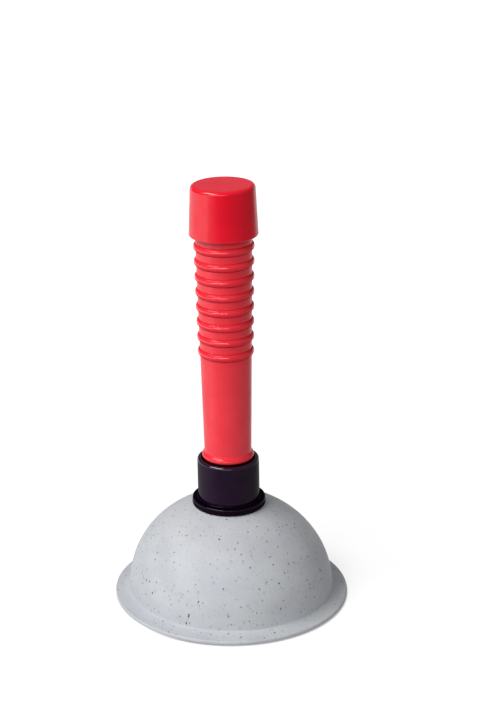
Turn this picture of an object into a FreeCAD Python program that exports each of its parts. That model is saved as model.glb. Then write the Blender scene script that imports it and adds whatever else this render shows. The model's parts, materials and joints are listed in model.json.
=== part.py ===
import FreeCAD
import Part
import math
import os
from FreeCAD import Vector

# Short-handled plunger: a rubber cup, a flanged collar on its crown, a ribbed hollow handle with a
# push-on cap, and the screw and washer that clamp them together from inside the cup.
# Millimetres, +Z up. The origin is on the floor at the centre of the rim, on the axis that every
# round piece shares.

# ---- clearances ----
rubber_clearance = 0.4      # collar boss in the crown's hole
socket_clearance = 0.10     # spigot fins in the collar's socket
key_clearance = 0.15        # each side of a key, between its pair of fins
cap_clearance = 0.10        # cap's mouth ring and plug on the handle's neck
thread_clearance = 0.05     # screw in its pilot hole
hole_clearance = 0.35       # screw in the washer and the collar

# ---- overlap of a rib with the wall that it grows from, and of a cutter with what it leaves ----
root = 0.8

# ---- rubber cup ----
rim_radius = 70.0           # outer edge of the sealing lip
lip_edge = 2.6              # lip's thickness at its outer edge
lip_climb = 1.9             # rise of the lip's top from its edge to the dome
lip_sag = 0.45              # how hollow that rise is
mouth_bevel = 2.4           # flare where the inner wall meets the floor
dome_radius = 61.3
cup_wall = 3.2
crown_height = 58.3         # flat seat for the collar
crown_cut = 3.2             # peak of the full dome that the flat seat takes off
crown_pad = 6.0             # rubber clamped between the collar and the washer

# ---- collar ----
flange_radius = 21.8
flange_thickness = 4.1
flange_rounding = 0.7
collar_radius = 18.35
collar_height = 29.5        # seat to mouth
collar_floor = 3.6
collar_foot_rounding = 0.8
mouth_gap = 0.5             # round the handle's shoulder bead
mouth_depth = 1.7           # of the bevel that clears the bead
mouth_rounding = 0.9
boss_radius = 6.4           # centres the collar in the crown's hole
boss_short = 0.6            # boss stops this far above the washer, so the rubber is what is clamped
key_count = 4
key_width = 3.0
key_reach = 1.4
key_height = 11.0

# ---- handle ----
grip_length = 138.0         # collar mouth to cap
grip_foot_radius = 13.85
grip_top_radius = 16.5
grip_wall = 2.4
bead_count = 8
bead_pitch = 9.14
bead_height = 1.35
bead_width = 5.2
bead_below_cap = 6.6        # top bead's centre to the cap
shoulder_radius = 15.7      # bead that closes the collar's mouth
shoulder_sink = 0.2         # its underside, below the collar's mouth
shoulder_bulge = 1.8        # widest point, above the mouth
shoulder_roll = 3.8         # top of its rounded edge, above the mouth
shoulder_bevel = 0.5        # from there up to the grip
shoulder_land = 0.9         # width of its rounded edge
neck_radius = 16.1          # inside the cap
handle_floor = 3.2
fin_width = 1.8
fin_margin = 0.5            # fins stop this far short of the collar's floor and of its mouth's bevel
screw_post_radius = 4.7
screw_post_height = 27.0
web_width = 1.8
web_height = 20.0
web_slope = 9.0             # drop of a web's top edge from the post to the wall

# ---- end cap ----
cap_radius = 20.1
cap_top_radius = 18.7
cap_height = 29.8
cap_wall = 2.0
cap_top = 2.4
cap_rounding = 2.0
cap_mouth_rounding = 0.6
cap_ring = 3.0              # height of the ring that grips the neck
plug_wall = 1.6
plug_length = 16.0
plug_slots = 4
plug_slot_width = 2.4
plug_slot_length = 11.0

# ---- screw and washer ----
screw_radius = 2.5
screw_length = 36.0
screw_tip = 3.0
screw_head_radius = 5.2
screw_head_height = 3.4
screw_head_rounding = 1.4
recess_width = 1.3          # cross recess
recess_length = 5.2
recess_depth = 1.9
washer_radius = 16.0
washer_thickness = 1.6
washer_rounding = 0.5

# ---- levels, from the floor up ----
dome_foot = lip_edge + lip_climb
dome_rise = crown_height + crown_cut - dome_foot
crown_underside = crown_height - crown_pad
washer_underside = crown_underside - washer_thickness
collar_floor_top = crown_height + collar_floor
flange_top = crown_height + flange_thickness
mouth_level = crown_height + collar_height
grip_top = mouth_level + grip_length
top_level = grip_top + cap_height
neck_top = top_level - cap_top
post_top = collar_floor_top + handle_floor + screw_post_height

# ---- radii that follow ----
grip_taper = (grip_top_radius - grip_foot_radius) / grip_length
spigot_foot_radius = grip_foot_radius - grip_taper * (mouth_level - collar_floor_top)
mouth_radius = shoulder_radius + mouth_gap
socket_radius = mouth_radius - 1.0
fin_reach = socket_radius - socket_clearance
crown_hole_radius = boss_radius + rubber_clearance
through_hole_radius = screw_radius + hole_clearance
pilot_radius = screw_radius + thread_clearance
neck_bore_radius = grip_top_radius - grip_wall


class Section:
    """Half of a round piece's section: x is the radius and z the height, and solid() turns it."""

    def __init__(self, radius, z):
        self.start = Vector(radius, 0, z)
        self.pen = self.start
        self.edges = []

    def line(self, radius, z):
        target = Vector(radius, 0, z)
        self.edges.append(Part.LineSegment(self.pen, target).toShape())
        self.pen = target
        return self

    def arc(self, through_radius, through_z, radius, z):
        target = Vector(radius, 0, z)
        self.edges.append(Part.Arc(self.pen, Vector(through_radius, 0, through_z), target).toShape())
        self.pen = target
        return self

    def ellipse(self, half_width, half_height, centre_z, z):
        """Follow an upright ellipse on the axis from the pen to the height z."""
        target = Vector(ellipse_radius(half_width, half_height, z - centre_z), 0, z)
        centre = Vector(0, 0, centre_z)
        side = Vector(half_width, 0, centre_z)
        top = Vector(0, 0, centre_z + half_height)
        if half_width >= half_height:
            oval = Part.Ellipse(side, top, centre)
        else:
            oval = Part.Ellipse(top, side, centre)
        first = oval.parameter(self.pen)
        last = oval.parameter(target)
        self.edges.append(Part.ArcOfEllipse(oval, min(first, last), max(first, last)).toShape())
        self.pen = target
        return self

    def solid(self):
        self.line(self.start.x, self.start.z)
        wire = Part.Wire(Part.__sortEdges__(self.edges))
        return Part.Face(wire).revolve(Vector(0, 0, 0), Vector(0, 0, 1), 360)


def ellipse_radius(half_width, half_height, above_centre):
    return half_width * math.sqrt(1 - (above_centre / half_height) ** 2)


def grip_radius(z):
    """Outside of the handle's long taper at the height z."""
    return grip_foot_radius + grip_taper * (z - mouth_level)


def bore_radius(z):
    """Inside of the handle, which keeps one wall thickness along the taper."""
    return grip_radius(z) - grip_wall


def cylinder(radius, low, high):
    return Part.makeCylinder(radius, high - low, Vector(0, 0, low))


def block(inner, outer, width, low, high, angle):
    """Upright slab from one radius to another, turned about the axis."""
    slab = Part.makeBox(outer - inner, width, high - low, Vector(inner, -width / 2, low))
    slab.rotate(Vector(0, 0, 0), Vector(0, 0, 1), angle)
    return slab


def around(count, make, offset=0.0):
    """The pieces that make(angle) gives at equal steps round the axis."""
    return [make(offset + 360.0 * step / count) for step in range(count)]


def soften(shape, rounding, *rings):
    """Fillet the circular edges that lie at the given (radius, height) rings."""
    edges = []
    for edge in shape.Edges:
        curve = edge.Curve
        if not isinstance(curve, Part.Circle):
            continue
        for radius, z in rings:
            if abs(curve.Radius - radius) < 0.001 and abs(curve.Center.z - z) < 0.001:
                edges.append(edge)
    return shape.makeFillet(rounding, edges)


def make_rubber_cup():
    """Dome with a sealing lip below and a thick flat crown above, pierced for the collar's boss."""
    lip_middle = (rim_radius + dome_radius) / 2
    inner_width = dome_radius - cup_wall
    inner_rise = dome_rise - cup_wall
    section = Section(inner_width + mouth_bevel, 0)
    section.line(rim_radius, 0)
    section.line(rim_radius, lip_edge)
    section.arc(lip_middle, lip_edge + lip_climb / 2 - lip_sag, dome_radius, dome_foot)
    section.ellipse(dome_radius, dome_rise, dome_foot, crown_height)
    section.line(crown_hole_radius, crown_height)
    section.line(crown_hole_radius, crown_underside)
    pad_radius = ellipse_radius(inner_width, inner_rise, crown_underside - dome_foot)
    section.line(pad_radius, crown_underside)
    section.ellipse(inner_width, inner_rise, dome_foot, dome_foot)
    section.line(inner_width, mouth_bevel)
    cup = section.solid()
    lip_rounding = 0.4 * lip_edge
    return soften(cup, lip_rounding, (rim_radius, 0), (rim_radius, lip_edge))


def make_collar():
    """Flanged socket: stands on the crown, holds the spigot, and its keys stop the handle turning."""
    boss_foot = crown_underside + boss_short
    section = Section(through_hole_radius, boss_foot)
    section.line(boss_radius, boss_foot)
    section.line(boss_radius, crown_height)
    section.line(flange_radius, crown_height)
    section.line(flange_radius, flange_top)
    section.line(collar_radius, flange_top)
    section.line(collar_radius, mouth_level)
    section.line(mouth_radius, mouth_level)
    section.line(socket_radius, mouth_level - mouth_depth)
    section.line(socket_radius, collar_floor_top)
    section.line(through_hole_radius, collar_floor_top)
    collar = section.solid()
    collar = soften(collar, flange_rounding, (flange_radius, crown_height), (flange_radius, flange_top))
    collar = soften(collar, collar_foot_rounding, (collar_radius, flange_top))
    collar = soften(collar, mouth_rounding, (collar_radius, mouth_level))

    def key(angle):
        key_top = collar_floor_top + key_height
        return block(socket_radius - key_reach, socket_radius + root, key_width,
                     collar_floor_top - root, key_top, angle)

    return collar.fuse(around(key_count, key))


def handle_shell():
    """Hollow taper with its beads, shoulder, neck and floor, and the screw post inside."""
    shoulder_foot = mouth_level - shoulder_sink
    shoulder_edge = shoulder_radius - shoulder_land
    bevel_foot = mouth_level + shoulder_roll
    bevel_top = bevel_foot + shoulder_bevel
    floor_top = collar_floor_top + handle_floor
    section = Section(pilot_radius, collar_floor_top)
    section.line(grip_radius(collar_floor_top), collar_floor_top)
    section.line(grip_radius(shoulder_foot), shoulder_foot)
    section.line(shoulder_edge, shoulder_foot)
    section.arc(shoulder_radius, mouth_level + shoulder_bulge, shoulder_edge, bevel_foot)
    section.line(grip_radius(bevel_top), bevel_top)
    for bead in range(bead_count):
        centre = grip_top - bead_below_cap - bead_pitch * (bead_count - 1 - bead)
        low = centre - bead_width / 2
        high = centre + bead_width / 2
        section.line(grip_radius(low), low)
        section.arc(grip_radius(centre) + bead_height, centre, grip_radius(high), high)
    section.line(grip_top_radius, grip_top)
    section.line(neck_radius, grip_top)
    section.line(neck_radius, neck_top)
    section.line(neck_bore_radius, neck_top)
    section.line(neck_bore_radius, grip_top)
    section.line(bore_radius(floor_top), floor_top)
    section.line(screw_post_radius, floor_top)
    section.line(screw_post_radius, post_top)
    section.line(pilot_radius, post_top)
    return section.solid()


def make_handle():
    """Moulded grip: the shell, the webs that brace its screw post and the fins that fill the socket."""
    floor_top = collar_floor_top + handle_floor
    fin_top = mouth_level - mouth_depth - fin_margin
    fin_offset = key_width / 2 + key_clearance + fin_width / 2

    def web(angle):
        inner = screw_post_radius - root
        outer = bore_radius(floor_top) + root
        foot = floor_top - root
        corners = [(inner, foot), (outer, foot), (outer, floor_top + web_height - web_slope),
                   (inner, floor_top + web_height), (inner, foot)]
        outline = Part.makePolygon([Vector(x, -web_width / 2, z) for x, z in corners])
        plate = Part.Face(outline).extrude(Vector(0, web_width, 0))
        plate.rotate(Vector(0, 0, 0), Vector(0, 0, 1), angle)
        return plate

    def fin_pair(angle):
        fins = []
        for side in (-1, 1):
            fin = block(spigot_foot_radius - root, fin_reach + root, fin_width,
                        collar_floor_top + fin_margin, fin_top, 0)
            fin.translate(Vector(0, side * fin_offset, 0))
            fin.rotate(Vector(0, 0, 0), Vector(0, 0, 1), angle)
            fins.append(fin.common(cylinder(fin_reach, collar_floor_top, fin_top)))
        return Part.makeCompound(fins)

    half_step = 180.0 / key_count
    webs = around(key_count, web, half_step)
    fins = [fin for pair in around(key_count, fin_pair) for fin in pair.Solids]
    return handle_shell().fuse(webs + fins).removeSplitter()


def make_end_cap():
    """Domed-edge cap: its ring grips the neck and its slotted plug springs against the bore."""
    ring_top = grip_top + cap_ring
    ring_radius = neck_radius + cap_clearance
    plug_radius = neck_bore_radius - cap_clearance
    plug_foot = neck_top - plug_length
    draft = (cap_radius - cap_top_radius) / cap_height
    section = Section(0, top_level)
    section.line(cap_top_radius, top_level)
    section.line(cap_radius, grip_top)
    section.line(ring_radius, grip_top)
    section.line(ring_radius, ring_top)
    section.line(cap_radius - cap_wall - draft * cap_ring, ring_top)
    section.line(cap_top_radius - cap_wall + draft * cap_top, neck_top)
    section.line(plug_radius, neck_top)
    section.line(plug_radius, plug_foot)
    section.line(plug_radius - plug_wall, plug_foot)
    section.line(plug_radius - plug_wall, neck_top)
    section.line(0, neck_top)
    cap = section.solid()
    cap = soften(cap, cap_rounding, (cap_top_radius, top_level))
    cap = soften(cap, cap_mouth_rounding, (cap_radius, grip_top))

    def slot(angle):
        return block(plug_radius - 2 * plug_wall, plug_radius + root, plug_slot_width,
                     plug_foot - root, plug_foot + plug_slot_length, angle)

    return cap.cut(around(plug_slots, slot))


def make_fixing_screw():
    """Pan-head self-tapping screw, driven up from inside the cup into the handle's post."""
    head_foot = washer_underside - screw_head_height
    tip_level = washer_underside + screw_length
    section = Section(0, head_foot)
    section.line(screw_head_radius, head_foot)
    section.line(screw_head_radius, washer_underside)
    section.line(screw_radius, washer_underside)
    section.line(screw_radius, tip_level - screw_tip)
    section.line(0, tip_level)
    screw = soften(section.solid(), screw_head_rounding, (screw_head_radius, head_foot))

    def recess(angle):
        arm = Part.makeBox(recess_length, recess_width, recess_depth)
        arm.translate(Vector(-recess_length / 2, -recess_width / 2, head_foot))
        arm.rotate(Vector(0, 0, 0), Vector(0, 0, 1), angle)
        return arm

    return screw.cut([recess(0), recess(90)])


def make_clamp_washer():
    """Wide flat washer that spreads the screw's pull over the crown's underside."""
    ring = cylinder(washer_radius, washer_underside, crown_underside)
    ring = ring.cut(cylinder(through_hole_radius, washer_underside - root, crown_underside + root))
    return soften(ring, washer_rounding, (washer_radius, washer_underside))


makers = {
    "rubber_cup": make_rubber_cup,
    "collar": make_collar,
    "handle_grip": make_handle,
    "end_cap": make_end_cap,
    "fixing_screw": make_fixing_screw,
    "clamp_washer": make_clamp_washer,
}

os.makedirs("parts", exist_ok=True)
for node, make in makers.items():
    shape = make()
    if len(shape.Solids) == 1:
        shape = shape.Solids[0]
    shape.exportStep("parts/" + node + ".step")
    print(node, "solids", len(shape.Solids), "valid", shape.isValid(), "volume", round(shape.Volume))
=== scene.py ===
# %% [markdown]
# # A short-handled plunger
# The solids already exist, at their real size and in their real places. This lesson dresses them: it
# turns the rubber and plastic pieces again with finer edges, raises the beads on the grip with
# Geometry Nodes, gives every piece a finish that works at its real scale, and sets a camera and lamps.
# First the solids are loaded. They are a fixed frame: nothing below moves or resizes them.

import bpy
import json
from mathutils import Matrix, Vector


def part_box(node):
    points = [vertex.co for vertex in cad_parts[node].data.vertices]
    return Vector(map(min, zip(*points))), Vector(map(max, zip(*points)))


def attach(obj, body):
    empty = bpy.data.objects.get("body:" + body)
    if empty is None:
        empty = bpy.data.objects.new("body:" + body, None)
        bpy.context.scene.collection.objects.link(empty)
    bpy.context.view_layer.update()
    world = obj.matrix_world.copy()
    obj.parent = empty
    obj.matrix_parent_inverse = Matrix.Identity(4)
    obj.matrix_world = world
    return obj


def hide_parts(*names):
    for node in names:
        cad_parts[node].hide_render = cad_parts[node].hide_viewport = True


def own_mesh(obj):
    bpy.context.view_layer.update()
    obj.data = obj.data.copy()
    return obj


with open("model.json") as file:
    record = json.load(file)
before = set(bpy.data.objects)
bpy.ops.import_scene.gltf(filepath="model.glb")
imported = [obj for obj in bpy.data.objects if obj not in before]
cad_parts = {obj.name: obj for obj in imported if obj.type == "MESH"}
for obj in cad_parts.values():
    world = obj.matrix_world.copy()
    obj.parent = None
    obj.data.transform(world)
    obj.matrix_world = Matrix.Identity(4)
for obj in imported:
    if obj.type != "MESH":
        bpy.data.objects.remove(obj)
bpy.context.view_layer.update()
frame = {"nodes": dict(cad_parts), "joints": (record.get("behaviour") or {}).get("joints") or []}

import json
import math

import bpy
from mathutils import Euler, Vector

mm = 0.001
scene = bpy.context.scene
print("solids:", ", ".join(sorted(frame["nodes"])))


# %% [markdown]
# ## Turned pieces
# Every piece of a plunger is round, so each one is drawn as half of its section and turned about the
# Z axis. A section is a loop of corners, and each corner has its own rounding, as a toolmaker would
# draw it. Straight runs get extra points close to their ends: they hold the shading flat up to the
# rounding, which a glossy piece would otherwise show as a false gradient.

# %% A section with rounded corners
bend_step = 9


def rounded(corners, pitch=2 * mm, hold=0.12 * mm):
    """Closed loop of (radius, height) points from (radius, height, rounding) corners."""
    bends = []
    for index, (radius, height, rounding) in enumerate(corners):
        here = Vector((radius, height))
        back = (Vector(corners[index - 1][:2]) - here).normalized()
        ahead = (Vector(corners[(index + 1) % len(corners)][:2]) - here).normalized()
        turn = math.pi - back.angle(ahead)
        if rounding <= 0 or turn < 0.01:
            bends.append([here])
            continue
        reach = rounding * math.tan(turn / 2)
        centre = here + (back + ahead).normalized() * rounding / math.cos(turn / 2)
        first = here + back * reach - centre
        last = here + ahead * reach - centre
        count = max(3, math.ceil(math.degrees(turn) / bend_step))
        bends.append([centre + first.slerp(last, step / count) * rounding for step in range(count + 1)])
    loop = []
    for index, bend in enumerate(bends):
        loop.extend(bend)
        start = bend[-1]
        run = bends[(index + 1) % len(bends)][0] - start
        if run.length > 4 * hold:
            ahead = run.normalized()
            inner = run.length - 2 * hold
            count = max(1, math.ceil(inner / pitch))
            loop.extend(start + ahead * (hold + inner * step / count) for step in range(count + 1))
    return loop


print("a quarter turn is rounded in", math.ceil(90 / bend_step), "steps")

# %% Turn a section into a mesh
sharp_angle = 35


def turned(name, loop, steps=160):
    """Solid of revolution of a closed loop of (radius, height) points, as a smooth mesh."""
    points = []
    rings = []
    for radius, height in loop:
        if radius < 1e-7:
            rings.append([len(points)] * steps)
            points.append((0, 0, height))
            continue
        rings.append(list(range(len(points), len(points) + steps)))
        for step in range(steps):
            angle = math.tau * step / steps
            points.append((radius * math.cos(angle), radius * math.sin(angle), height))
    faces = []
    for index, ring in enumerate(rings):
        above = rings[(index + 1) % len(rings)]
        if ring[0] == ring[1] and above[0] == above[1]:
            continue
        for step in range(steps):
            after = (step + 1) % steps
            corners = [ring[step], ring[after], above[after], above[step]]
            faces.append(list(dict.fromkeys(corners)))
    mesh = bpy.data.meshes.new(name)
    mesh.from_pydata(points, [], faces)
    mesh.update()
    mesh.shade_smooth()
    mesh.set_sharp_from_angle(angle=math.radians(sharp_angle))
    piece = bpy.data.objects.new(name, mesh)
    scene.collection.objects.link(piece)
    print(name, "has", len(faces), "faces")
    return piece


print("edges that turn by more than", sharp_angle, "degrees stay sharp")


# %% [markdown]
# ## The rubber cup
# The cup is one moulding: a flat sealing lip, a dome that is almost a quarter circle in section, and a
# thick flat crown for the collar. The dome follows an ellipse, so both skins come from one formula,
# and the hollow top of the lip is a circular arc. A finer mesh than the solid's matters here for a
# second reason: the cup is the piece that bends when the plunger is pushed, and only a mesh with many
# rings would flatten smoothly. It stays under 200,000 triangles, so that an STL file can hold all of
# them.

# %% The cup's sizes
cup_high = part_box("rubber_cup")[1]
rim_radius = cup_high.x
crown_height = cup_high.z
lip_edge = 2.6 * mm
lip_climb = 1.9 * mm
lip_sag = 0.45 * mm
lip_rounding = 1.0 * mm
lip_root_rounding = 0.8 * mm
mouth_bevel = 2.4 * mm
mouth_edge_rounding = 0.5 * mm
dome_radius = 61.3 * mm
dome_foot = lip_edge + lip_climb
dome_rise = crown_height + 3.2 * mm - dome_foot
dome_start = 1.2 * mm
cup_wall = 3.2 * mm
crown_pad = 6.0 * mm
crown_hole_radius = 6.8 * mm
print("rim", round(2 * rim_radius / mm, 1), "mm across, crown", round(crown_height / mm, 1), "mm high")


# %% The cup's curves
def arc_through(start, middle, end, count):
    """Points of the circular arc through three (radius, height) points, both ends included."""
    a, b, c = Vector(start), Vector(middle), Vector(end)
    ab, ac = b - a, c - a
    cross = 2 * (ab.x * ac.y - ab.y * ac.x)
    centre = a + Vector((ac.y * ab.length_squared - ab.y * ac.length_squared,
                         ab.x * ac.length_squared - ac.x * ab.length_squared)) / cross
    radius = (a - centre).length
    first = math.atan2(a.y - centre.y, a.x - centre.x)
    last = math.atan2(c.y - centre.y, c.x - centre.x)
    sweep = (last - first + math.pi) % math.tau - math.pi
    return [(centre.x + radius * math.cos(first + sweep * step / count),
             centre.y + radius * math.sin(first + sweep * step / count)) for step in range(count + 1)]


def dome_curve(radius, rise, low, high, count):
    """Points up an ellipse on the axis, evenly spaced in angle, between two heights over its centre."""
    first = math.asin(low / rise)
    last = math.asin(high / rise)
    angles = [first + (last - first) * step / count for step in range(count + 1)]
    return [(radius * math.cos(angle), dome_foot + rise * math.sin(angle), 0) for angle in angles]


lip_middle = (rim_radius + dome_radius) / 2
lip_top = arc_through((rim_radius, lip_edge), (lip_middle, lip_edge + lip_climb / 2 - lip_sag),
                      (dome_radius, dome_foot), 24)
inner_radius = dome_radius - cup_wall
inner_rise = dome_rise - cup_wall
crown_underside = crown_height - crown_pad
outer_dome = dome_curve(dome_radius, dome_rise, dome_start, crown_height - dome_foot, 72)
inner_dome = dome_curve(inner_radius, inner_rise, 0, crown_underside - dome_foot, 60)
print("the dome's skins have", len(outer_dome), "and", len(inner_dome), "rings")

# %% Turn the cup
# The ends of the lip's arc make way for the two roundings beside it.
arc_trim = 4
cup_steps = 192
cup_section = [(inner_radius + mouth_bevel, 0, mouth_edge_rounding), (rim_radius, 0, lip_rounding),
               (rim_radius, lip_edge, lip_rounding)]
cup_section += [(radius, height, 0) for radius, height in lip_top[arc_trim:-arc_trim]]
cup_section += [(dome_radius, dome_foot, lip_root_rounding)]
cup_section += outer_dome
cup_section += [(crown_hole_radius, crown_height, 0), (crown_hole_radius, crown_underside, 0)]
cup_section += inner_dome[::-1]
cup_section += [(inner_radius, mouth_bevel, 0)]
cup = turned("cup", rounded(cup_section), cup_steps)


# %% [markdown]
# ## The collar
# A dark socket stands on the crown. Its flange has small roundings above and below, which is where a
# glossy dark piece shows its light: a sharp edge would stay black. The mouth opens in a bevel round
# the grip's shoulder, and a boss below fills the hole in the rubber.

# %% The collar's sizes
collar_low, collar_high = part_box("collar")
flange_radius = collar_high.x
mouth_level = collar_high.z
flange_top = crown_height + 4.1 * mm
flange_rounding = 0.7 * mm
flange_fillet = 0.8 * mm
collar_radius = 18.35 * mm
shoulder_radius = 15.4 * mm
mouth_radius = shoulder_radius + 0.8 * mm
mouth_depth = 1.7 * mm
mouth_rounding = 1.3 * mm
mouth_inner_rounding = 0.25 * mm
socket_radius = mouth_radius - 1.0 * mm
collar_floor_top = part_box("handle_grip")[0].z
boss_radius = 6.4 * mm
small_rounding = 0.3 * mm
through_hole_radius = 2.85 * mm
print("collar", round(2 * collar_radius / mm, 1), "mm across, flange", round(2 * flange_radius / mm, 1))

# %% Turn the collar
collar_section = [
    (through_hole_radius, collar_low.z, 0), (boss_radius, collar_low.z, small_rounding),
    (boss_radius, crown_height, 0), (flange_radius, crown_height, flange_rounding),
    (flange_radius, flange_top, flange_rounding), (collar_radius, flange_top, flange_fillet),
    (collar_radius, mouth_level, mouth_rounding), (mouth_radius, mouth_level, mouth_inner_rounding),
    (socket_radius, mouth_level - mouth_depth, small_rounding), (socket_radius, collar_floor_top, 0),
    (through_hole_radius, collar_floor_top, 0)]
collar = turned("collar_socket", rounded(collar_section))


# %% [markdown]
# ## The grip
# The grip is a hollow taper that gets thicker upwards. Its shoulder is a bead that closes the collar's
# mouth, its neck goes up into the cap, and a post inside takes the screw. It is turned smooth first,
# with close rings where the beads will be. The rings lie alike on every bead: rings at a pitch of
# their own would cut each bead at other heights and break up the highlights.

# %% The grip's sizes
grip_low, grip_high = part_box("handle_grip")
grip_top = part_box("end_cap")[0].z
grip_foot_radius = 13.85 * mm
grip_top_radius = 16.5 * mm
grip_wall = 2.4 * mm
grip_taper = (grip_top_radius - grip_foot_radius) / (grip_top - mouth_level)
foot_rounding = 0.4 * mm
neck_radius = 16.1 * mm
pilot_radius = 2.55 * mm
post_radius = 4.7 * mm
post_top = collar_floor_top + 30.2 * mm
bore_floor = collar_floor_top + 3.2 * mm


def grip_radius(height):
    return grip_foot_radius + grip_taper * (height - mouth_level)


print("grip", round((grip_top - mouth_level) / mm, 1), "mm long between collar and cap")

# %% The shoulder's roll
shoulder_foot = mouth_level + 0.2 * mm
shoulder_middle = mouth_level + 2.0 * mm
shoulder_top = mouth_level + 3.8 * mm
shoulder_edge = shoulder_radius - 0.9 * mm
bevel_top = shoulder_top + 0.5 * mm
bevel_rounding = 0.3 * mm
shoulder_roll = arc_through((shoulder_edge, shoulder_foot), (shoulder_radius, shoulder_middle),
                            (shoulder_edge, shoulder_top), 20)
print("the shoulder rolls through", len(shoulder_roll), "rings")

# %% The beads' places, and the rings that will carry them
bead_count = 8
bead_pitch = 9.14 * mm
bead_width = 4.5 * mm
top_bead_drop = 6.6 * mm
first_bead = grip_top - top_bead_drop - (bead_count - 1) * bead_pitch
rings_each_side = 20
rings_reach = 0.6
bead_levels = [first_bead + bead * bead_pitch + bead_width * rings_reach * step / rings_each_side
               for bead in range(bead_count) for step in range(-rings_each_side, rings_each_side + 1)]
plain_rings = 12
plain_start = bevel_top + 2 * mm
plain_rise = bead_levels[0] - plain_start
plain_levels = [plain_start + plain_rise * step / plain_rings for step in range(plain_rings)]
taper_levels = plain_levels + bead_levels + [grip_top - 2 * mm]
print("lowest bead", round((first_bead - mouth_level) / mm, 1), "mm over the collar")

# %% Turn the grip without its beads
grip_section = [(pilot_radius, grip_low.z, 0), (grip_radius(grip_low.z), grip_low.z, foot_rounding),
                (grip_radius(shoulder_foot), shoulder_foot, 0)]
grip_section += [(radius, height, 0) for radius, height in shoulder_roll]
grip_section += [(grip_radius(bevel_top), bevel_top, bevel_rounding)]
grip_section += [(grip_radius(height), height, 0) for height in taper_levels]
grip_section += [(grip_top_radius, grip_top, 0), (neck_radius, grip_top, 0), (neck_radius, grip_high.z, 0),
                 (grip_top_radius - grip_wall, grip_high.z, 0), (grip_top_radius - grip_wall, grip_top, 0),
                 (grip_radius(bore_floor) - grip_wall, bore_floor, 0), (post_radius, bore_floor, 0),
                 (post_radius, post_top, 0), (pilot_radius, post_top, 0)]
smooth_grip = turned("grip", rounded(grip_section), steps=128)


# %% [markdown]
# ## Small helpers for node trees
# Shader and geometry trees are easier to read as formulas. A Wire is one value on its way between
# nodes, and Python's operators on it add the Math nodes, also where the number stands first, as in
# 1 - mask. Every other node comes from one method.

# %% A value on its way between nodes
class Wire:
    """One output socket; arithmetic on it adds Math nodes to its graph."""

    def __init__(self, graph, socket):
        self.graph = graph
        self.socket = socket

    def calculate(self, operation, *others):
        return self.graph.node("ShaderNodeMath", {"operation": operation},
                               {place: value for place, value in enumerate((self, *others))})

    def clamped(self, low, high):
        return self.calculate("MAXIMUM", low).calculate("MINIMUM", high)

    def __add__(self, other):
        return self.calculate("ADD", other)

    def __sub__(self, other):
        return self.calculate("SUBTRACT", other)

    def __mul__(self, other):
        return self.calculate("MULTIPLY", other)

    def __truediv__(self, other):
        return self.calculate("DIVIDE", other)

    def __gt__(self, other):
        return self.calculate("GREATER_THAN", other)

    def __lt__(self, other):
        return self.calculate("LESS_THAN", other)

    def __rsub__(self, other):
        return self.graph.node("ShaderNodeMath", {"operation": "SUBTRACT"}, {0: other, 1: self})

    __radd__ = __add__
    __rmul__ = __mul__


print("operators that add a Math node: + - * / > <")


# %% A tree under construction
class Graph:
    """A node tree under construction: node() adds any node and gives back the outputs asked for."""

    def __init__(self, tree):
        self.tree = tree

    def node(self, kind, settings=None, inputs=None, output=0, outputs=None):
        node = self.tree.nodes.new(kind)
        for name, value in (settings or {}).items():
            setattr(node, name, value)
        for place, value in (inputs or {}).items():
            if isinstance(value, Wire):
                self.tree.links.new(value.socket, node.inputs[place])
            else:
                node.inputs[place].default_value = value
        if outputs:
            return [Wire(self, node.outputs[name]) for name in outputs]
        return Wire(self, node.outputs[output])

    def vector(self, operation, inputs, output="Vector"):
        return self.node("ShaderNodeVectorMath", {"operation": operation}, inputs, output)

    def smooth_between(self, value, low, high):
        """0 at low, 1 at high and a soft step between; low may be the larger of the two."""
        return self.node("ShaderNodeMapRange", {"interpolation_type": "SMOOTHSTEP"},
                         {"Value": value, "From Min": low, "From Max": high})


print("any other node: graph.node(kind, settings, inputs, output)")


# %% [markdown]
# ## Beads on the grip
# The beads repeat at an even pitch, so Geometry Nodes raises them: each point of the outer skin finds
# its nearest bead by rounding its height to the pitch, and moves outwards by the bead's profile there.
# The profile is an arc of a circle, and a smooth maximum with zero rounds the crease where it meets the
# taper, as the edge of a milled groove in a mould would. The result replaces the piece's plain mesh.

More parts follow.
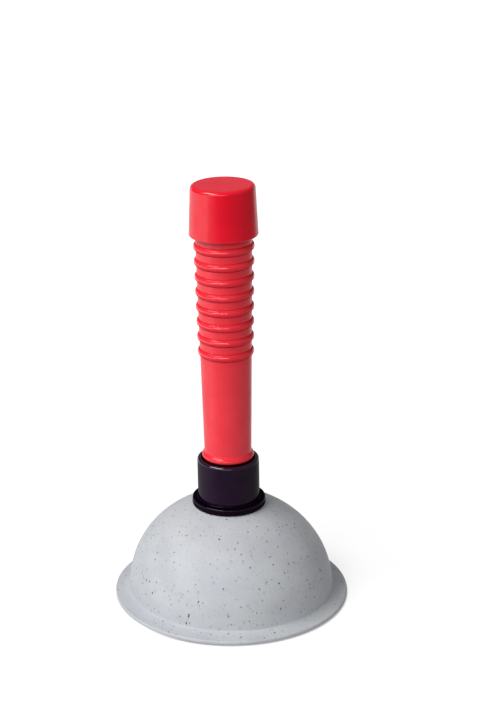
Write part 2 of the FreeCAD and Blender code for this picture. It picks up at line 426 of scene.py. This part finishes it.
# %% Build the bead tree
def bead_tree(material):
    tree = bpy.data.node_groups.new("raise_beads", "GeometryNodeTree")
    tree.interface.new_socket("Geometry", in_out="INPUT", socket_type="NodeSocketGeometry")
    for name in ("First Bead", "Pitch", "Count", "Height", "Width", "Crease", "Skin Radius"):
        tree.interface.new_socket(name, in_out="INPUT", socket_type="NodeSocketFloat")
    tree.interface.new_socket("Geometry", in_out="OUTPUT", socket_type="NodeSocketGeometry")
    graph = Graph(tree)
    entry = tree.nodes.new("NodeGroupInput")

    def given(name):
        return Wire(graph, entry.outputs[name])

    position = graph.node("GeometryNodeInputPosition")
    across = graph.vector("MULTIPLY", {0: position, 1: (1, 1, 0)})
    radius = graph.vector("LENGTH", {0: across}, "Value")
    outwards = graph.vector("NORMALIZE", {0: across})
    height = graph.node("ShaderNodeSeparateXYZ", None, {0: position}, output="Z")
    place = (height - given("First Bead")) / given("Pitch")
    nearest = place.calculate("ROUND").clamped(0.0, given("Count") - 1.0)
    off_centre = (place - nearest) * given("Pitch")
    half = given("Width") / 2.0
    arc_radius = (half * half + given("Height") * given("Height")) / (given("Height") * 2.0)
    below = (arc_radius * arc_radius - off_centre * off_centre).calculate("MAXIMUM", 0.0).calculate("SQRT")
    rise = (below - (arc_radius - given("Height"))).calculate("SMOOTH_MAX", 0.0, given("Crease"))
    lift = graph.vector("SCALE", {0: outwards, "Scale": rise})
    moved = graph.node("GeometryNodeSetPosition", None,
                       {"Geometry": given("Geometry"), "Selection": radius > given("Skin Radius"),
                        "Offset": lift})
    real = graph.node("GeometryNodeRealizeInstances", None, {0: moved})
    painted = graph.node("GeometryNodeSetMaterial", None, {"Geometry": real, "Material": material})
    tree.links.new(painted.socket, tree.nodes.new("NodeGroupOutput").inputs[0])
    print("the bead tree has", len(tree.nodes), "nodes")
    return tree


# %% Run a tree on a piece
def grown(base, tree, values):
    """Run a Geometry Nodes tree on a piece, keep the result as its plain mesh, drop the modifier."""
    modifier = base.modifiers.new("grow", "NODES")
    modifier.node_group = tree
    for item in tree.interface.items_tree:
        if item.in_out == "INPUT" and item.name in values:
            modifier[item.identifier] = values[item.name]
    bpy.context.view_layer.update()
    evaluated = base.evaluated_get(bpy.context.evaluated_depsgraph_get())
    mesh = bpy.data.meshes.new_from_object(evaluated)
    base.modifiers.clear()
    base.data = mesh
    mesh.name = base.name
    print(base.name, "now has", len(mesh.polygons), "faces")
    return base


# %% [markdown]
# ## The end cap
# A slightly wider cup of a second red, pushed over the neck. Its sides draw in upwards for the mould,
# and the broad rounding at the top is where it catches the lamp. A ring inside grips the neck, and a
# plug goes down into the hollow of the grip.

# %% The cap's sizes
cap_low, cap_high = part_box("end_cap")
cap_radius = cap_high.x
cap_top_radius = 18.7 * mm
cap_rounding = 2.1 * mm
cap_foot_rounding = 0.7 * mm
cap_draft = (cap_radius - cap_top_radius) / (cap_high.z - cap_low.z)
cap_wall = 2.0 * mm
ring_radius = neck_radius + 0.1 * mm
ring_height = 3.0 * mm
ring_top = cap_low.z + ring_height
ring_rounding = 0.2 * mm
plug_radius = grip_top_radius - grip_wall - 0.1 * mm
plug_wall = 1.6 * mm
plug_foot = grip_high.z - 16.0 * mm
roof_thickness = 2.4 * mm
print("cap", round(2 * cap_radius / mm, 1), "mm across,", round((cap_high.z - cap_low.z) / mm, 1), "mm high")

# %% Turn the cap
cap_section = [
    (0, cap_high.z, 0), (cap_top_radius, cap_high.z, cap_rounding),
    (cap_radius, cap_low.z, cap_foot_rounding), (ring_radius, cap_low.z, ring_rounding),
    (ring_radius, ring_top, 0), (cap_radius - cap_wall - cap_draft * ring_height, ring_top, 0),
    (cap_top_radius - cap_wall + cap_draft * roof_thickness, grip_high.z, 0),
    (plug_radius, grip_high.z, 0), (plug_radius, plug_foot, 0),
    (plug_radius - plug_wall, plug_foot, 0), (plug_radius - plug_wall, grip_high.z, 0),
    (0, grip_high.z, 0)]
cap = turned("cap", rounded(cap_section))


# %% [markdown]
# ## Finishes
# Every pattern below is written in millimetres and read on Object coordinates, so a speck that is
# half a millimetre wide stays that wide on every piece. Colours are given as a paint chip would read
# on a screen and turned into the linear values that the shader works in.

# %% Colours as a paint chip reads
def chip(red, green, blue):
    """Linear colour from screen values of 0 to 255."""
    def linear(value):
        share = value / 255
        return share / 12.92 if share <= 0.04045 else ((share + 0.055) / 1.055) ** 2.4
    return (linear(red), linear(green), linear(blue), 1.0)


print("a mid grey of 128 is", round(chip(128, 128, 128)[0], 3), "in linear light")


# %% Patterns sized in millimetres
class Finish(Graph):
    """A material that ends in one Principled shader, with patterns sized in millimetres."""

    def __init__(self, name, **constants):
        self.material = bpy.data.materials.new(name)
        self.material.use_nodes = True
        super().__init__(self.material.node_tree)
        self.tree.nodes.clear()
        self.shader = self.tree.nodes.new("ShaderNodeBsdfPrincipled")
        exit_node = self.tree.nodes.new("ShaderNodeOutputMaterial")
        self.tree.links.new(self.shader.outputs[0], exit_node.inputs[0])
        for place, value in constants.items():
            self.shader.inputs[place.replace("_", " ")].default_value = value
        self.place = self.node("ShaderNodeTexCoord", output="Object")

    def feed(self, place, wire):
        self.tree.links.new(wire.socket, self.shader.inputs[place])

    def stretched(self, x, y, z):
        """Coordinates along which patterns grow longer by these factors."""
        return self.vector("DIVIDE", {0: self.place, 1: (x, y, z)})

    def noise(self, size, detail=2.0, where=None, output=0):
        """Soft random values round 0.5, with features about size millimetres across."""
        return self.node("ShaderNodeTexNoise", None,
                         {"Vector": where or self.place, "Scale": 1 / (size * mm), "Detail": detail},
                         output)

    def mix(self, share, first, second):
        inputs = {0: share, 6: first, 7: second}
        return self.node("ShaderNodeMix", {"data_type": "RGBA"}, inputs, output=2)

    def specks(self, cell, share, small, large, where=None):
        """Mask of specks: at most one to a cell, in that share of cells, with radii from small to large."""
        distance, chance = self.node("ShaderNodeTexVoronoi", None,
                                     {"Vector": where or self.place, "Scale": 1 / (cell * mm)},
                                     outputs=("Distance", "Color"))
        pick, size = self.node("ShaderNodeSeparateColor", None, {0: chance}, outputs=("Red", "Green"))
        radius = (size * size * (large - small) + small) / cell
        return self.smooth_between(distance, radius, radius * 0.55) * (pick < share)

    def bump(self, height, depth, strength=1.0, normal=None):
        """Relief of depth millimetres where height runs from 0 to 1."""
        inputs = {"Height": height, "Distance": depth * mm, "Strength": strength}
        if normal:
            inputs["Normal"] = normal
        return self.node("ShaderNodeBump", None, inputs)


print("a pattern of 1 mm has a scale of", round(1 / mm))


# %% Put a finish on a piece
def finished(piece, body, node, finish):
    """Give a piece its material, hide the solid that it stands for and hang it on the body that it rides on.
    """
    piece.data.materials.clear()
    piece.data.materials.append(finish.material)
    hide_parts(node)
    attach(piece, body)
    print(piece.name, "rides on", body)


# %% [markdown]
# ## Speckled rubber
# The cup is moulded from light grey rubber with crumbs of a darker batch in it. Crumbs are scattered
# through the whole thickness and the surface slices them, which is just what a Voronoi pattern in
# space gives: each cell holds one centre, and the skin shows a dot where it passes close by. A second
# and fainter layer stands for crumbs that lie just under the skin. A little noise bends the
# coordinates first, so that no crumb is a clean circle, and the whole pattern is drawn out upwards.

# %% The rubber's grey
cloud_size = 13
grain_size = 1.6
rubber = Finish("speckled_rubber", Specular_IOR_Level=0.25)
clouds = rubber.noise(cloud_size, detail=3.0, where=rubber.stretched(1.6, 1.6, 1))
grain = rubber.noise(grain_size, detail=3.0)
grey = rubber.mix(rubber.smooth_between(clouds, 0.36, 0.62), chip(197, 200, 206), chip(205, 208, 211))
grey = rubber.mix(rubber.smooth_between(grain, 0.3, 0.75) * 0.35, grey, chip(186, 190, 197))
print("greys in clouds about", cloud_size, "mm high, with a grain of", grain_size, "mm")

# %% Its crumbs
crumb_bend = 0.9 * mm
dark_crumb = 0.66
faint_crumb = 1.0
jitter = rubber.noise(0.6, output="Color")
bent = rubber.vector("MULTIPLY_ADD", {0: jitter, 1: (crumb_bend,) * 3, 2: rubber.stretched(1, 1, 1.6)})
under_skin = rubber.specks(2.4, 0.75, 0.35, faint_crumb, bent) * 0.26
on_skin = rubber.specks(2.5, 0.8, 0.22, dark_crumb, bent) * 0.9
grey = rubber.mix(under_skin, grey, chip(112, 117, 132))
rubber.feed("Base Color", rubber.mix(on_skin, grey, chip(30, 31, 46)))
print("dark crumbs up to", dark_crumb, "mm in radius, faint ones up to", faint_crumb, "mm")

# %% Its dull, slightly wavy skin
waves = rubber.bump(rubber.noise(14, detail=1.0), 0.35, 0.5)
rubber.feed("Roughness", rubber.noise(9, detail=3.0) * 0.16 + 0.44)
rubber.feed("Normal", rubber.bump(rubber.noise(0.7, detail=2.0), 0.03, 0.6, waves))
finished(cup, "cup", "rubber_cup", rubber)


# %% [markdown]
# ## Moulded plastics
# The collar, grip and cap are polished mouldings: a coloured body under a clear glossy skin, which the
# shader calls a coat. What keeps them from looking like flat paint is small: a skin that is not quite
# flat, gloss that is rubbed a little duller in patches, hairline scuffs that run round the piece
# where hands and other tools have turned it, and specks of dust. Two things follow the shape. Shade
# is painted into the colour at the feet of the beads, under the cap, in the collar's mouth and on its
# flange, and the cap's flat top is painted paler as a sheen. And the skin shines most where hands keep it
# bright: just over the crests of the beads, at the collar's mouth and on the cap's rounded edge. Both are
# written as masks of the height, because every piece is turned.

# %% Heights that the masks are written in
def height_in(skin):
    return skin.node("ShaderNodeSeparateXYZ", None, {0: skin.place}, output="Z")


def over_bead(skin):
    """Height over the nearest bead's centre, negative below it."""
    place = (height_in(skin) - first_bead) / bead_pitch
    nearest = place.calculate("ROUND").clamped(0.0, bead_count - 1.0)
    return (place - nearest) * bead_pitch


bead_half = bead_width / 2
print("bead centres from", round(first_bead / mm, 1), "mm up, each", bead_pitch / mm, "mm over the last")


# %% Where painted shade and a painted sheen change the colour
# painted shade: how far the darkening spreads to each side of a bead's foot
painted_shade_reach = 0.5 * mm


def grip_painted_shade(skin):
    """Painted shade: darker colour at both feet of each bead, in the groove under the cap and in the
    collar's mouth.
    """
    off_foot = (over_bead(skin).calculate("ABSOLUTE") - bead_half).calculate("ABSOLUTE")
    lower_foot = skin.smooth_between(over_bead(skin), 0.5 * mm, -0.5 * mm)
    at_feet = skin.smooth_between(off_foot, painted_shade_reach, 0.05 * mm) * (lower_foot * 0.4 + 0.45)
    height = height_in(skin)
    under_cap = skin.smooth_between(height, grip_top - 3.2 * mm, grip_top - 1.0 * mm)
    in_mouth = skin.smooth_between(height, mouth_level + 1.2 * mm, mouth_level + 0.7 * mm)
    where = at_feet.calculate("MAXIMUM", under_cap * 0.8).calculate("MAXIMUM", in_mouth)
    # dark red painted shade at the beads' feet and under the cap, near black in the collar's mouth
    return where, skin.mix(in_mouth, chip(160, 10, 24), chip(34, 4, 14))


def flange_painted_shade(skin):
    """Painted shade: the flange is coloured darker than the rest of the collar."""
    where = skin.smooth_between(height_in(skin), flange_top + 2.0 * mm, flange_top + 0.5 * mm)
    return where, chip(13, 2, 17)


def cap_painted_sheen(skin):
    """Painted sheen: the flat top is coloured paler, standing in for light that it mirrors from above."""
    where = skin.smooth_between(height_in(skin), cap_high.z - 1.6 * mm, cap_high.z - 0.1 * mm)
    # the paler red of the painted sheen
    return where, chip(255, 28, 54)


# the reach printed here is that of the painted shade at the beads' feet
print("dirt reaches", painted_shade_reach / mm, "mm to each side of a bead's foot")

# %% Where each plastic shines
crest_rise = 0.6 * mm


def collar_shine(skin):
    """Brightest at its two exposed edges: the mouth and the flange's upper edge."""
    height = height_in(skin)
    at_mouth = skin.smooth_between(height, mouth_level - 1.5 * mm, mouth_level - 0.9 * mm)
    off_flange = (height - (flange_top - 0.5 * mm)).calculate("ABSOLUTE")
    on_flange = skin.smooth_between(height, flange_top + 1.5 * mm, flange_top)
    at_flange = skin.smooth_between(off_flange, 0.5 * mm, 0.2 * mm)
    return at_mouth * 0.75 + at_flange * 0.25 + (on_flange * -0.12 + 0.18)


def grip_shine(skin):
    """Dull on the flanks of the beads, and kept bright by the hand just above their crests."""
    over = over_bead(skin)
    crest = skin.smooth_between((over - crest_rise).calculate("ABSOLUTE"), 0.8 * mm, 0.45 * mm)
    on_bead = skin.smooth_between(over.calculate("ABSOLUTE"), bead_half + 0.4 * mm, bead_half)
    return crest * 0.85 + (on_bead * -0.33 + 0.48)


def cap_shine(skin):
    """The rounding at the top rubs against the palm and shines most."""
    off_edge = (height_in(skin) - (cap_high.z - 1.2 * mm)).calculate("ABSOLUTE")
    return skin.smooth_between(off_edge, 1.1 * mm, 0.7 * mm) * 0.15 + 0.6


print("a bead shines most", crest_rise / mm, "mm over its centre")

# %% One recipe for all three plastics
dust_colour = chip(225, 220, 215)
dust_share = 0.05


def plastic(name, colour, deep, shine, coat_roughness, painted_light):
    skin = Finish(name, Specular_IOR_Level=0.0, Coat_Roughness=coat_roughness, Coat_IOR=1.8)
    tone = skin.smooth_between(skin.noise(18, detail=3.0), 0.3, 0.7)
    scuffs = skin.smooth_between(skin.noise(0.5, detail=2.0, where=skin.stretched(14, 14, 1)), 0.62, 0.74)
    worn = skin.smooth_between(skin.noise(7, detail=4.0), 0.45, 0.75)
    # a mask and colour for painted shade, or for the cap's painted sheen
    where, painted_colour = painted_light(skin)
    base = skin.mix(where, skin.mix(tone, deep, colour), painted_colour)
    motes = skin.specks(3.2, dust_share, 0.05, 0.16)
    uneven = skin.bump(skin.noise(3.5, detail=1.0), 0.012, 0.6)
    skin.feed("Base Color", skin.mix(motes * 0.35, base, dust_colour))
    skin.feed("Roughness", worn * 0.1 + scuffs * 0.08 + 0.3)
    skin.feed("Coat Weight", (1.0 - worn * 0.2 - scuffs * 0.25) * shine(skin))
    skin.feed("Normal", skin.bump(scuffs, 0.006, 0.5, uneven))
    print(name, "is mixed from", len(skin.tree.nodes), "nodes")
    return skin


# %% Mix the three plastics
# the last argument of each plastic paints shade, or on the cap a sheen, into its colour
collar_plastic = plastic("aubergine_plastic", chip(30, 4, 36), chip(23, 2, 29), collar_shine, 0.06,
                         flange_painted_shade)
grip_plastic = plastic("coral_plastic", chip(251, 52, 68), chip(245, 44, 60), grip_shine, 0.08,
                       grip_painted_shade)
cap_plastic = plastic("crimson_plastic", chip(245, 7, 42), chip(238, 3, 37), cap_shine, 0.14,
                      cap_painted_sheen)

# %% Raise the beads, then finish the plastic pieces
bead_height = 1.35 * mm
bead_crease = 0.05 * mm
skin_radius = grip_foot_radius - 0.5 * mm
grip = grown(smooth_grip, bead_tree(grip_plastic.material),
             {"First Bead": first_bead, "Pitch": bead_pitch, "Count": float(bead_count),
              "Height": bead_height, "Width": bead_width, "Crease": bead_crease,
              "Skin Radius": skin_radius})
finished(collar, "handle", "collar", collar_plastic)
finished(grip, "handle", "handle_grip", grip_plastic)
finished(cap, "handle", "end_cap", cap_plastic)


# %% [markdown]
# ## Plated steel
# The screw and washer show only from below. Their solids are right as they are, so they keep their
# meshes and get a zinc finish: metal with a faint blotchy tint and roughness that varies with it.

# %% Plate the screw and washer
steel = Finish("zinc_plate", Metallic=1.0)
blotches = steel.noise(4, detail=4.0)
tint = steel.smooth_between(blotches, 0.3, 0.7)
steel.feed("Base Color", steel.mix(tint, chip(176, 178, 184), chip(206, 205, 200)))
steel.feed("Roughness", blotches * 0.25 + 0.22)
steel.feed("Normal", steel.bump(steel.noise(0.4, detail=2.0), 0.01, 0.4))
for node in ("fixing_screw", "clamp_washer"):
    solid = frame["nodes"][node]
    solid.material_slots[0].material = steel.material
    print(node, "is plated")


# %% [markdown]
# ## The cup and the plunge
# Pushing the handle down presses the crown towards the rim. Here the slide's travel is read from the
# model's joints, and the share of the crown's height that a full push would leave is worked out, but
# nothing flattens the cup: it only gets a mesh of its own.

# %% The plunge's travel, and a mesh of the cup's own
plunge = next(joint for joint in frame["joints"] if joint["name"] == "plunge")
travel = max(plunge["range_m"])
1 - travel / crown_height
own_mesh(cup)
print("crown height", round(crown_height / mm, 1), "mm, travel", travel / mm, "mm")


# %% [markdown]
# ## The floor
# A sheet of white paper. It adds a little light of its own for rays from the camera and for mirrored
# ones: it then reads as white, the shadow stays, and no extra light falls on the plunger. Towards the
# front right the sheet fades out in two soft steps, and the white world shows in its place. A thin
# dark line follows the lip where no light gets under it, all round but at the left, which the key
# lamp reaches.

# %% Lay the paper
floor_mesh = bpy.data.meshes.new("floor")
sheet = [(-2.4, -2.4, 0), (1.2, -2.4, 0), (1.2, 4.0, 0), (-2.4, 4.0, 0)]
floor_mesh.from_pydata(sheet, [], [(0, 1, 2, 3)])
floor = bpy.data.objects.new("floor", floor_mesh)
scene.collection.objects.link(floor)
paper = Finish("white_paper", Roughness=0.9, Specular_IOR_Level=0.1, Emission_Strength=1.0)
floor_mesh.materials.append(paper.material)
print("the paper is", round(sheet[2][0] - sheet[0][0], 1), "by", round(sheet[2][1] - sheet[0][1], 1), "m")


# %% Its colour and its contact line
def ray_kinds(graph):
    """Masks of the rays that leave the camera, and of those that a glossy or clear piece sends on."""
    direct, glossy, through = graph.node(
        "ShaderNodeLightPath", outputs=("Is Camera Ray", "Is Glossy Ray", "Is Transmission Ray"))
    return direct, glossy.calculate("MAXIMUM", through)


paper_white = (0.66, 0.66, 0.66, 1.0)
crevice_black = (0.02, 0.02, 0.02, 1.0)
line_behind = 0.35 * mm
line_in_front = 1.05 * mm
from_axis = paper.vector("LENGTH", {0: paper.place}, "Value")
across, deep = paper.node("ShaderNodeSeparateXYZ", None, {0: paper.place}, outputs=("X", "Y"))
line_growth = line_in_front - line_behind
line_width = paper.smooth_between(deep, 0.0, -0.06) * line_growth + line_behind
off_line = ((from_axis - (rim_radius + 0.1 * mm)) / line_width).clamped(0.0, 1.0)
lit = off_line.calculate("MAXIMUM", paper.smooth_between(across, -0.02, -0.055))
own_light = (paper.smooth_between(from_axis, 0.1, 0.6) * 0.2 + 0.58) * lit
camera_ray, sent_on = ray_kinds(paper)
paper.feed("Base Color", paper.mix(lit, crevice_black, paper_white))
paper.feed("Emission Color", own_light * camera_ray.calculate("MAXIMUM", sent_on))
print("the contact line is", line_behind / mm, "to", line_in_front / mm, "mm wide")

# %% Where it fades out
fade_across = 0.637
fade_deep = 0.771
fade_line = 0.85
inside = deep * fade_deep - across * fade_across + fade_line
far_step = paper.smooth_between(inside, 0.0, fade_line)
near_step = paper.smooth_between(inside, 0.75, 1.0)
right_edge = paper.smooth_between(across, 1.0, 0.6)
paper.feed("Alpha", (far_step * 0.45 + near_step * 0.55) * right_edge)
print("the paper has faded out", fade_line, "m in front of the plunger, to the right")


# %% [markdown]
# ## World and lamps
# The camera sees a white world. The pieces see less: an even low light from all round, and in their
# reflections a dim room with a white backdrop low behind, because dark glossy plastic turns grey when
# it mirrors white everywhere. Two lamps draw the highlights: a broad high key from the left, and a low
# wide strip almost in front, which runs round the beads and down the collar as short bright sparks.

# %% World
world = bpy.data.worlds.new("studio")
scene.world = world
world.use_nodes = True
world.node_tree.nodes.clear()
sky = Graph(world.node_tree)
ambient = 0.28
room = 0.14
direction = sky.node("ShaderNodeTexCoord", output="Generated")
depth, height = sky.node("ShaderNodeSeparateXYZ", None, {0: direction}, outputs=("Y", "Z"))
backdrop = sky.smooth_between(depth, 0.6, 0.85) * sky.smooth_between(height, 0.3, 0.1)
camera_ray, mirrored = ray_kinds(sky)
level = mirrored * (backdrop * (1 - room) + (room - ambient)) + ambient
glow = sky.node("ShaderNodeBackground", None,
                {"Color": (1, 1, 1, 1), "Strength": level.calculate("MAXIMUM", camera_ray)})
world_exit = world.node_tree.nodes.new("ShaderNodeOutputWorld")
world.node_tree.links.new(glow.socket, world_exit.inputs[0])
print("even light", ambient, "and mirrored room", room)


# %% Lamps
def soft_lamp(name, azimuth, elevation, distance, width, height, power, aim=(0, 0, 0.1)):
    """Wide area lamp: azimuth is measured from the camera's side, negative to the left."""
    lamp = bpy.data.lights.new(name, "AREA")
    lamp.shape = "RECTANGLE"
    lamp.size = width
    lamp.size_y = height
    lamp.energy = power
    turn = math.radians(azimuth)
    rise = math.radians(elevation)
    out = Vector((math.sin(turn) * math.cos(rise), -math.cos(turn) * math.cos(rise), math.sin(rise)))
    holder = bpy.data.objects.new(name, lamp)
    holder.location = Vector(aim) + out * distance
    holder.rotation_euler = out.to_track_quat("Z", "Y").to_euler()
    scene.collection.objects.link(holder)
    print(name, "lamp,", width, "by", height, "m,", power, "W")


soft_lamp("key", -58, 49, 4.0, 3.0, 1.4, 114.0)
soft_lamp("spark", -19, 8, 4.0, 4.6, 0.5, 45.0)


# %% [markdown]
# ## Camera
# A long lens about a metre away and half a metre up, so that the plunger is seen slightly from above
# and its upright lines hardly converge. The shift slides the picture without turning the camera.

# %% Aim the camera
look_down = 17.41
look_left = 5.72
roll = -2.89
camera_data = bpy.data.cameras.new("camera")
camera = bpy.data.objects.new("camera", camera_data)
scene.collection.objects.link(camera)
bpy.context.scene.camera = camera
camera_data.sensor_fit = "VERTICAL"
camera_data.sensor_height = 36.0
camera_data.lens = 91.89
camera_data.shift_x = 0.2659
camera_data.shift_y = -0.1335
camera.location = (0, -1.0144, 0.5298)
aim = Euler((math.radians(90 - look_down), 0, math.radians(look_left))).to_matrix()
camera.rotation_euler = (aim @ Euler((0, 0, math.radians(roll))).to_matrix()).to_euler()
scene.view_settings.view_transform = "Standard"
print("camera", round(camera.location.length, 2), "m from the foot, lens", round(camera_data.lens, 2))
